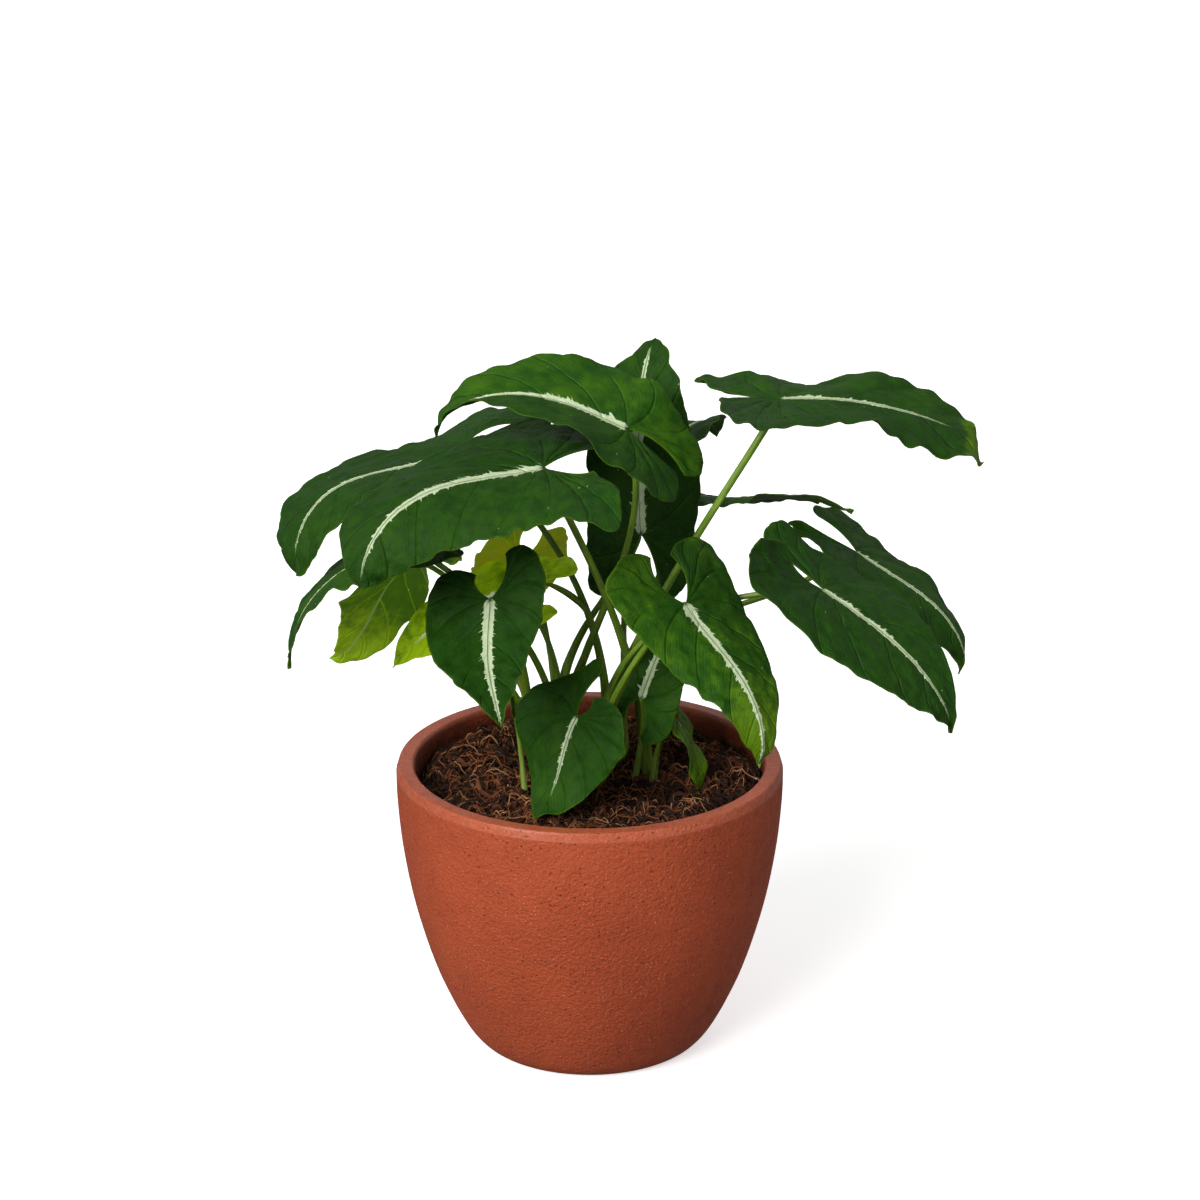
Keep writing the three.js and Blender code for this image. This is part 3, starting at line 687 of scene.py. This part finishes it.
# half a blade on a grid: columns follow the outline and rows run from the midrib to the margin.
# Lines of one column lean towards the tip as the side veins do.
def flatHalf(leaf, half, number, middle, share, out):
    scale = min(1, leaf["length"] / blade["reference"])
    margin = halfOutline(leaf, half, share)
    reach = np.hypot(margin[:, :1] - middle, margin[:, 1:])
    # mm along the margin, with a start of its own for each half of each leaf
    along = np.concatenate([[0], np.cumsum(np.hypot(*np.diff(margin, axis=0).T))]) + 50 * number + 400 * half
    # dents and swellings of the margin
    depth, cell = blade["notches"]
    dent = ripple(blade["swells"], along, 3) + ripple(blade["nicks"], along, 4)
    dent = dent - depth * smooth(ripple((1, cell), along, 5), 0.45, 0.9)
    dent = (dent * scale * smooth(share, 0.24, 0.34) * smooth(share, 1, 0.93))[:, None]
    pull = 1 + dent / np.maximum(reach, 4)
    x = middle + (margin[:, :1] - middle) * pull * out
    y = np.maximum(margin[:, 1:] * pull * out, 0)
    size = np.hypot(*margin[0])
    corner = margin[0] / size
    beside = np.clip(x * corner[0] + y * corner[1], 0, size)
    fromNotch = np.hypot(x - beside * corner[0], y - beside * corner[1])
    edge = np.minimum((1 - out) * reach * pull, fromNotch)
    # the notch between the lobes is rounded: its edge is pushed out, less and less into the lobe
    behind = np.clip(-x / (-margin[0, 0]), 0, 1)
    spread = 0.4 * leaf["lobeOut"][half]
    push = leaf.get("sinus", (2, 2))[half] * 4 * behind * (1 - behind) * np.exp(-((fromNotch / spread) ** 2))
    return x, y + push, edge, along[:, None], scale


# the blade's height over its flat shape, in mm: slow and quick waves at the margin, swellings
# between the side veins, and a channel along the midrib
def bladeHeight(leaf, half, x, y, edge, along, vein, perVein, out, scale, number):
    wavy = leaf.get("wavy", 1) * scale
    slow = ripple(blade["slowWave"], np.broadcast_to(along, x.shape), 6) * out**1.8
    quick = ripple(blade["quickWave"], along + out * 2.2, 7) * smooth(edge, 8, 0) * out
    near = np.abs((vein + 0.5) % 1 - 0.5)
    swell = blade["quilt"] * (smooth(near, 0, 0.42) - 0.5) * smooth(edge, 0, 6) * smooth(perVein, 1.5, 5)
    where = np.stack([x / blade["puckers"][0], y / blade["puckers"][1] + number * 3.1], -1)
    pucker = softNoise(where, 8) - 0.5 + 0.5 * (softNoise(where * 2.3, 9) - 0.5)
    pucker = blade["pucker"] * pucker * smooth(edge, 0, 3)
    fromRib = smooth(y, 0.5, 5)
    # a leaf's own billows: place along the midrib, spread and rise at the margin
    for place, spread, rise in leaf.get("billows", ((), ()))[half]:
        slow = slow + rise * np.exp(-(((x / leaf["length"] - place) / spread) ** 2)) * out**2
    return wavy * (slow + quick) + (swell + pucker) * fromRib


# the blade: a grid of columns and rows for each half and each face, joined at the midrib, the margin
# and the joint. Its fields tell the material where a point lies on its leaf.
def makeBlade(name, leaf, number, paint):
    length = leaf["length"]
    columns = int(blade["columns"][0] + blade["columns"][1] * length)
    rows = int(blade["rows"][0] + blade["rows"][1] * max(leaf["halfWidth"]))
    share = np.linspace(blade["notchEnd"], 1, columns)
    middle = sum(halfOutline(leaf, half, share) @ [1, -blade["veinSlant"]] for half in (0, 1)) / 2
    middle = np.clip(middle, 0, length)[:, None]
    out = (1 - (1 - np.linspace(0, 1, rows)) ** 1.2)[None]
    sheets, faces, first = [], [], 0
    fields = {"place": [], "vein": [], "tint": [], "stripe": []}
    for half, side in ((0, 1), (1, -1)):
        x, y, edge, along, scale = flatHalf(leaf, half, number, middle, share, out)
        vein = blade["veins"] * share[:, None] - blade["veinBend"] * out**2 + half * 0.37
        # mm from one vein to the next
        inward = np.gradient(np.stack([x, y], -1), axis=1)
        onward = np.gradient(np.stack([x, y], -1), axis=0)
        area = np.abs(inward[..., 0] * onward[..., 1] - inward[..., 1] * onward[..., 0])
        pace = blade["veins"] * (share[1] - share[0])
        perVein = area / (np.hypot(inward[..., 0], inward[..., 1]) + 1e-6) / pace
        height = bladeHeight(leaf, half, x, y, edge, along, vein, perVein, out, scale, number)
        taper = np.clip(1 - x / length, 0, 1) ** 0.7 * np.exp(-((np.minimum(x, 0) / 4) ** 2))
        taper = taper * smooth(edge, 0, 2)
        thick = blade["thickness"] / 2 * np.sqrt(1 - (1 - np.clip(edge / blade["edge"], 0, 1)) ** 2)
        hook = leaf.get("hook", 0) * smooth(x, length * 0.86, length) ** 1.5
        channel, ridge = (
            taper * deep * np.exp(-((y / wide) ** 2)) for deep, wide in (blade["channel"], blade["ridge"]))
        point, upward = placeOnLeaf(leaf, half, x, y)
        tints = [leaf.get(key, (0, 0))[half] for key in ("fresh", "lime", "aged")]
        limeTip, start = leaf.get("limeTip", (0, 0.5))
        tints[1] = np.minimum(tints[1] + limeTip * smooth(x, length * start, length * 0.97), 1)
        wide, until = leaf["stripe"]
        width = wide * np.clip(1 - np.clip(x / length / until, 0, 1) ** 1.5, 0, 1) ** 0.85
        for upper, rise in ((1, height - hook - channel + thick), (0, height - hook - ridge - thick)):
            sheets.append((point + rise[..., None] * upward).reshape(-1, 3))
            layers = dict(place=(x, side * y, edge), vein=(vein, perVein, upper), tint=tints,
                          stripe=(width, x / length, number))
            for key, values in layers.items():
                fields[key].append(np.stack(np.broadcast_arrays(*values, x)[:3], -1).reshape(-1, 3))
            grid = gridFaces(columns, rows, first)
            faces.append(grid if upper == (half == 0) else grid[:, ::-1])
            first += columns * rows
    fields = {key: np.concatenate(values) for key, values in fields.items()}
    points, faces, fields = weld(np.concatenate(sheets), np.concatenate(faces), fields, 1e-3)
    addPiece(name + "_leaf_blade_shape", points * mm, faces, paint, [name + "_leaf_blade"], fields)


# each kind of leaf has a deep, fresh, light and aged colour; paintedGlow is painted light from behind, an
# emission that stands for light shining through the leaf
leafColours = dict(
    green=dict(deep=(0.0098, 0.042, 0.003, 1), fresh=(0.021, 0.112, 0.002, 1), lime=(0.105, 0.215, 0.004, 1),
               aged=(0.2, 0.22, 0.006, 1), paintedGlow=0),
    yellow_green=dict(deep=(0.045, 0.12, 0.002, 1), fresh=(0.1, 0.23, 0.002, 1), lime=(0.27, 0.42, 0.003, 1),
                      aged=(0.36, 0.38, 0.003, 1), paintedGlow=0.36),
    yellowGreenLeaves=("hanging", "old_yellow", "inner_left"),
    # silkSheen is the colour of painted sheen
    silkSheen=(0.034, 0.075, 0.016, 1), below=(0.09, 0.19, 0.02, 1), belowRib=(0.22, 0.36, 0.10, 1),
    cream=(0.47, 0.64, 0.34, 1), creamPale=(0.74, 0.82, 0.58, 1), creamGroove=(0.10, 0.22, 0.05, 1),
    dot=(0.7, 0.74, 0.64, 1),
)


# mottled green with veins, streaks of painted sheen, a paler underside, a cream midrib with a line of painted
# shade in its groove, and a few pale dots; place is where a point lies in mm along and across the midrib and
# from the edge
def leafPaint(kind):
    colours = leafColours[kind]
    deep, fresh, lime, aged = (colours[shade] for shade in ("deep", "fresh", "lime", "aged"))
    paint = Paint("leaf_" + kind, Roughness=0.5, Specular_IOR_Level=0.12, Emission_Strength=colours["paintedGlow"])
    x, y, edge = paint.apart(paint.attribute("place"))
    vein, perVein, upper = paint.apart(paint.attribute("vein"))
    freshShare, limeShare, agedShare = paint.apart(paint.attribute("tint"))
    width, share, number = paint.apart(paint.attribute("stripe"))
    away = abs(y)
    side = paint.ease(y, -0.05, 0.05)
    flat = paint.together(x, y, number * 37.0)
    # distance from the nearest side vein, in mm, and the same for the finer veins between
    veinAway = abs(paint.maths("FRACT", vein + 0.5) - 0.5) * perVein
    fineAway = abs(paint.maths("FRACT", vein * 5.0 + 0.5) - 0.5) * perVein * 0.2
    mottle = paint.noise(flat, 0.055, 3, 0.55)
    patch = paint.noise(flat, 0.21, 4, 0.65)
    silkSheen = paint.noise(paint.together(vein * 2.2 + number, away * 0.06, side * 9.0), 1.0, 5, 0.7)
    colour = paint.mix(paint.ease(patch, 0.3, 0.7) * 0.35, deep, fresh)
    # painted sheen: pale grey-green streaks along the veins stand for the silky sheen of the velvety surface
    colour = paint.mix(paint.ease(silkSheen, 0.4, 0.75) * 0.22, colour, leafColours["silkSheen"])
    colour = paint.mix(freshShare * (paint.ease(mottle + patch * 0.3, 0.4, 0.85) * 0.7 + 0.35), colour, fresh)
    colour = paint.mix(freshShare * paint.ease(mottle + patch * 0.35, 0.5, 1.0) * 0.6, colour, lime)
    blotch = paint.ease(mottle * 0.5 + patch * 0.5 + limeShare * 0.5, 0.6, 0.9)
    colour = paint.mix(blotch * paint.ease(limeShare, 0.0, 0.15) * 0.9, colour, lime)
    colour = paint.mix(agedShare * (paint.ease(mottle, 0.25, 0.6) * 0.5 + 0.5), colour, aged)
    # paler lines along the veins and at the margin
    faint = paint.ease(paint.noise(flat, 0.12, 2), 0.3, 0.7)
    colour = paint.mix(paint.ease(veinAway, 1.3, 0.1) * faint * 0.22, colour, fresh)
    colour = paint.mix(paint.ease(edge, 0.8, 0.1) * 0.45, colour, lime)
    # the pale midrib: its sides are toothed, with spikes that run out along some of the veins
    slant = x - away * blade["veinSlant"]
    sway = paint.noise(paint.together(slant, side * 11.0, number * 3.0), 0.22, 2, 0.6)
    teeth = paint.noise(paint.together(slant, side * 17.0, number * 3.0), 0.8, 3, 0.75)
    barb = paint.maths("FRACT", slant * -0.16 + sway * 4.0 + side * 0.4) ** 4.0
    some = paint.ease(sway, 0.42, 0.58)
    wide = width * (sway * 1.0 + teeth * 0.35 + 0.26) + barb * (width * 0.9 + 0.2) * (some * 0.8 + 0.2)
    start = paint.ease(x, -1.2, 1.5)
    pale = paint.ease(away - wide * start, 0.2, -0.1) * start * paint.ease(width, 0.03, 0.3)
    streak = paint.noise(paint.together(x * 0.3, y * 3.0, number), 1.0, 4, 0.65)
    cream = paint.mix(paint.ease(streak, 0.3, 0.7), leafColours["cream"], leafColours["creamPale"])
    # a green line down the midrib's groove: the groove's own green, darkened further as painted shade in the
    # groove
    cream = paint.mix(paint.ease(abs(away - 0.1), 0.24, 0.06) * 0.7, cream, leafColours["creamGroove"])
    above = paint.mix(pale * 0.97, colour, cream)
    # the underside is paler, with light veins and a light midrib
    below = paint.mix(0.3, colour, leafColours["below"])
    below = paint.mix(paint.ease(veinAway, 0.6, 0.2) * 0.5, below, lime)
    rib = paint.ease(away, 0.9, 0.4) * paint.ease(share, 1.0, 0.7) * 0.8
    colour = paint.mix(upper, paint.mix(rib, below, leafColours["belowRib"]), above)
    rare = paint.ease(paint.apart(paint.cells(flat, 0.3, "Color"))[0], 0.945, 0.95)
    dot = paint.ease(paint.cells(flat, 0.3), 0.09, 0.055) * rare * 0.7
    colour = paint.mix(dot, colour, leafColours["dot"])
    relief = paint.ease(veinAway, 0.0, 1.0) * 0.7 + paint.ease(fineAway, 0.0, 0.4) * 0.15 + silkSheen * 0.9
    relief = relief + paint.noise(flat, 1.3, 4, 0.65) * 0.7 + pale * 0.35 + paint.ease(away, 0.0, 0.3) * 0.4
    rough = paint.ease(patch, 0.3, 0.7) * 0.14 + 0.4 + pale * 0.08
    wires = dict(Base_Color=colour, Roughness=rough, Normal=paint.bump(relief, 0.7, 0.0009))
    # painted light: the yellow-green leaves glow in their own colour as if lit through from behind
    if colours["paintedGlow"]:
        wires["Emission_Color"] = colour
    return paint.finish(**wires)


# stalks

stalk = dict(
    depth=104, clear=0.1, steps=80, sides=22,
    groove=0.2, wing=0.85, wingUntil=0.62,  # depth and rise in radii, and the share of the stalk
    # added to the radius: how much, and between which mm along the stalk it grows
    swells=((0.22, 90, 20), (0.42, 34, 0)), cap=(0.12, 8), neck=(0.25, 1.6),
    dark=(0.1, 0.215, 0.013, 1), light=(0.26, 0.42, 0.03, 1), shade=(0.055, 0.125, 0.01, 1),
    foot=(0.33, 0.42, 0.11, 1),
)


# long green streaks, darker blotches and a paler foot
def stalkPaint():
    paint = Paint("leaf_stalk", Roughness=0.42, Specular_IOR_Level=0.45)
    along, turn, number = paint.apart(paint.attribute("stem"))
    grain = paint.noise(paint.together(along * 0.06, turn * 9.0, number * 5.0), 1.0, 4, 0.6)
    blotch = paint.noise(paint.together(along * 0.09, turn * 0.8, number * 9.0), 1.0, 2, 0.5)
    colour = paint.mix(paint.ease(grain, 0.3, 0.7), stalk["dark"], stalk["light"])
    colour = paint.mix(paint.ease(blotch, 0.35, 0.7) * 0.4, colour, stalk["shade"])
    colour = paint.mix(paint.ease(along, 40.0, 6.0) * 0.5, colour, stalk["foot"])
    return paint.finish(Base_Color=colour, Normal=paint.bump(grain, 0.35, 0.0004))


# the centre line: a cubic curve of four points from inside the soil to just under the joint
def stalkLine(leaf, share):
    foot, low, high, radius = leaf["stalk"]
    joint, high = np.array(leaf["joint"], float), np.array(high, float)
    up = midribFrame(leaf, 0.0)[2]
    coming = (joint - high) / np.linalg.norm(joint - high)
    end = joint - up * (stalk["clear"] + 0.85 * radius * np.linalg.norm(np.cross(coming, up)))
    foot = np.array([*foot, stalk["depth"]], float)
    share = share[:, None]
    return (foot * (1 - share) ** 3 + np.array(low) * 3 * share * (1 - share) ** 2
            + high * 3 * share**2 * (1 - share) + end * share**3)


# how the material finds its way on a stalk: mm along it, the side that it faces, and a number
def stemField(along, angle, number):
    along, turn = np.broadcast_arrays(along[:, None], np.sin(angle))
    return dict(stem=np.stack([along, turn, np.full(turn.shape, number)], -1).reshape(-1, 3))


# a tube along the centre line. A groove runs up the side that faces the leaf; along the lower part
# its two edges stand up as the thin wings of the sheath, which end one above the other
def makeStalk(name, leaf, number, paint):
    share = np.linspace(0, 1, stalk["steps"])
    line = stalkLine(leaf, share)
    along = np.concatenate([[0], np.cumsum(np.linalg.norm(np.diff(line, axis=0), axis=1))])
    cap, neck = stalk["cap"], stalk["neck"]
    radius = 1.02 + sum(more * smooth(along, start, end) for more, start, end in stalk["swells"])
    radius = leaf["stalk"][3] * (radius + cap[0] * smooth(along, along[-1] - cap[1], along[-1]))
    radius = radius * (1 - neck[0] * smooth(along, along[-1] - neck[1], along[-1]))
    angle = turns(stalk["sides"])
    turn = np.minimum(angle, 2 * np.pi - angle)
    until = stalk["wingUntil"]
    low = smooth(share, until + 0.04 * np.sin(number * 2.7), 0.15)[:, None] ** 0.6
    late = 0.8 * smooth(share, until - 0.08, 0.1)[:, None] ** 0.6
    left, right = (np.exp(-(((way - 0.55) / 0.2) ** 2)) for way in (angle, 2 * np.pi - angle))
    wavy = 1 + ripple((0.25, 4), along, 12 + number)[:, None]
    groove = stalk["groove"] * np.exp(-((turn / 0.5) ** 2))
    shape = 1 - groove + stalk["wing"] * (left * low + right * late) * wavy
    ahead = midribFrame(leaf, 0.2)[0]
    points, faces = tube(line, radius, stalk["sides"], ahead + [0, 0, 0.2], shape)
    addPiece(name + "_leaf_stalk_shape", points * mm, faces, paint, [name + "_leaf_stalk"],
             stemField(along, angle, number))


# a strip of old sheath that has peeled off one stalk: a flat tube along a smooth curve, widest
# near its middle and pointed at its free end
sheathStrip = dict(
    line=((-0.6, 17.2, 179), (-3, 15.6, 184), (-7.5, 14, 188.8), (-12.5, 13.5, 192.2), (-17, 13, 194.2),
          (-21, 12, 193.6)),
    halfWidth=1.7, thickness=0.16, steps=40, sides=12,  # mm; the thickness is a share of the width
    across=(0.35, -0.35, 0.9), shadeFrom=12, shadeLength=20, number=3.4,
)


def makeSheathStrip(paint):
    strip = sheathStrip
    share = np.linspace(0, 1, strip["steps"])
    line = through(strip["line"], share)
    radius = strip["halfWidth"] * (0.25 + 0.75 * np.sin(np.pi * share**0.8)) * smooth(share, 1.05, 0.7)
    angle = turns(strip["sides"])
    flat = 1 / np.hypot(np.cos(angle), np.sin(angle) / strip["thickness"])
    points, faces = tube(line, radius, strip["sides"], np.array(strip["across"]), flat)
    fields = stemField(share * strip["shadeLength"] + strip["shadeFrom"], angle, strip["number"])
    addPiece("sheath_strip", points * mm, faces, paint, fields=fields)


def makeLeaves():
    paints = {kind: leafPaint(kind) for kind in ("green", "yellow_green")}
    stalkFinish = stalkPaint()
    for number, (name, leaf) in enumerate(leaves.items()):
        kind = "yellow_green" if name in leafColours["yellowGreenLeaves"] else "green"
        makeBlade(name, leaf, number, paints[kind])
        makeStalk(name, leaf, number, stalkFinish)
    makeSheathStrip(stalkFinish)
    print("leaves made")


# the floor, and a plain white dome that only the camera sees; neither lights the plant
def makeRoom():
    size, around, rows = studio["floorSize"] / 2, studio["domeAround"], studio["domeRows"]
    corners = np.array([(-size, -size, 0), (size, -size, 0), (size, size, 0), (-size, size, 0)])
    turn, rise = np.meshgrid(turns(around), np.linspace(-0.2, np.pi / 2, rows))
    ring = np.stack([np.cos(rise) * np.cos(turn), np.cos(rise) * np.sin(turn), np.sin(rise)], -1)
    dome = ring.reshape(-1, 3) * studio["domeSize"]
    paint = Paint("floor", Roughness=0.9, Emission_Color=(1, 1, 1, 1), Emission_Strength=studio["floorGlow"])
    colour = paint.mix(paint.noise(paint.spot(), 8, 2), studio["floorColour"], studio["floorPale"])
    white = Paint("dome", Base_Color=(0, 0, 0, 1), Emission_Color=(1, 1, 1, 1), Emission_Strength=1.0)
    for name, points, faces, material in (
            ("floor", corners, [(0, 1, 2, 3)], paint.finish(Base_Color=colour)),
            ("dome", dome, gridFaces(rows, around, closed=True).tolist(), white.material)):
        piece = addMesh(name, points, faces, material)
        piece.visible_diffuse = piece.visible_glossy = piece.visible_transmission = False
        piece.visible_shadow = name == "floor"


addCamera()
addWorld()
for lightName in ("sun", "fill", "back"):
    addLight(lightName, studio[lightName])
makeRoom()
makePot()
makeSoil()
makeCoir()
makeLeaves()
scene.view_settings.view_transform = "Standard"
bpy.context.view_layer.update()
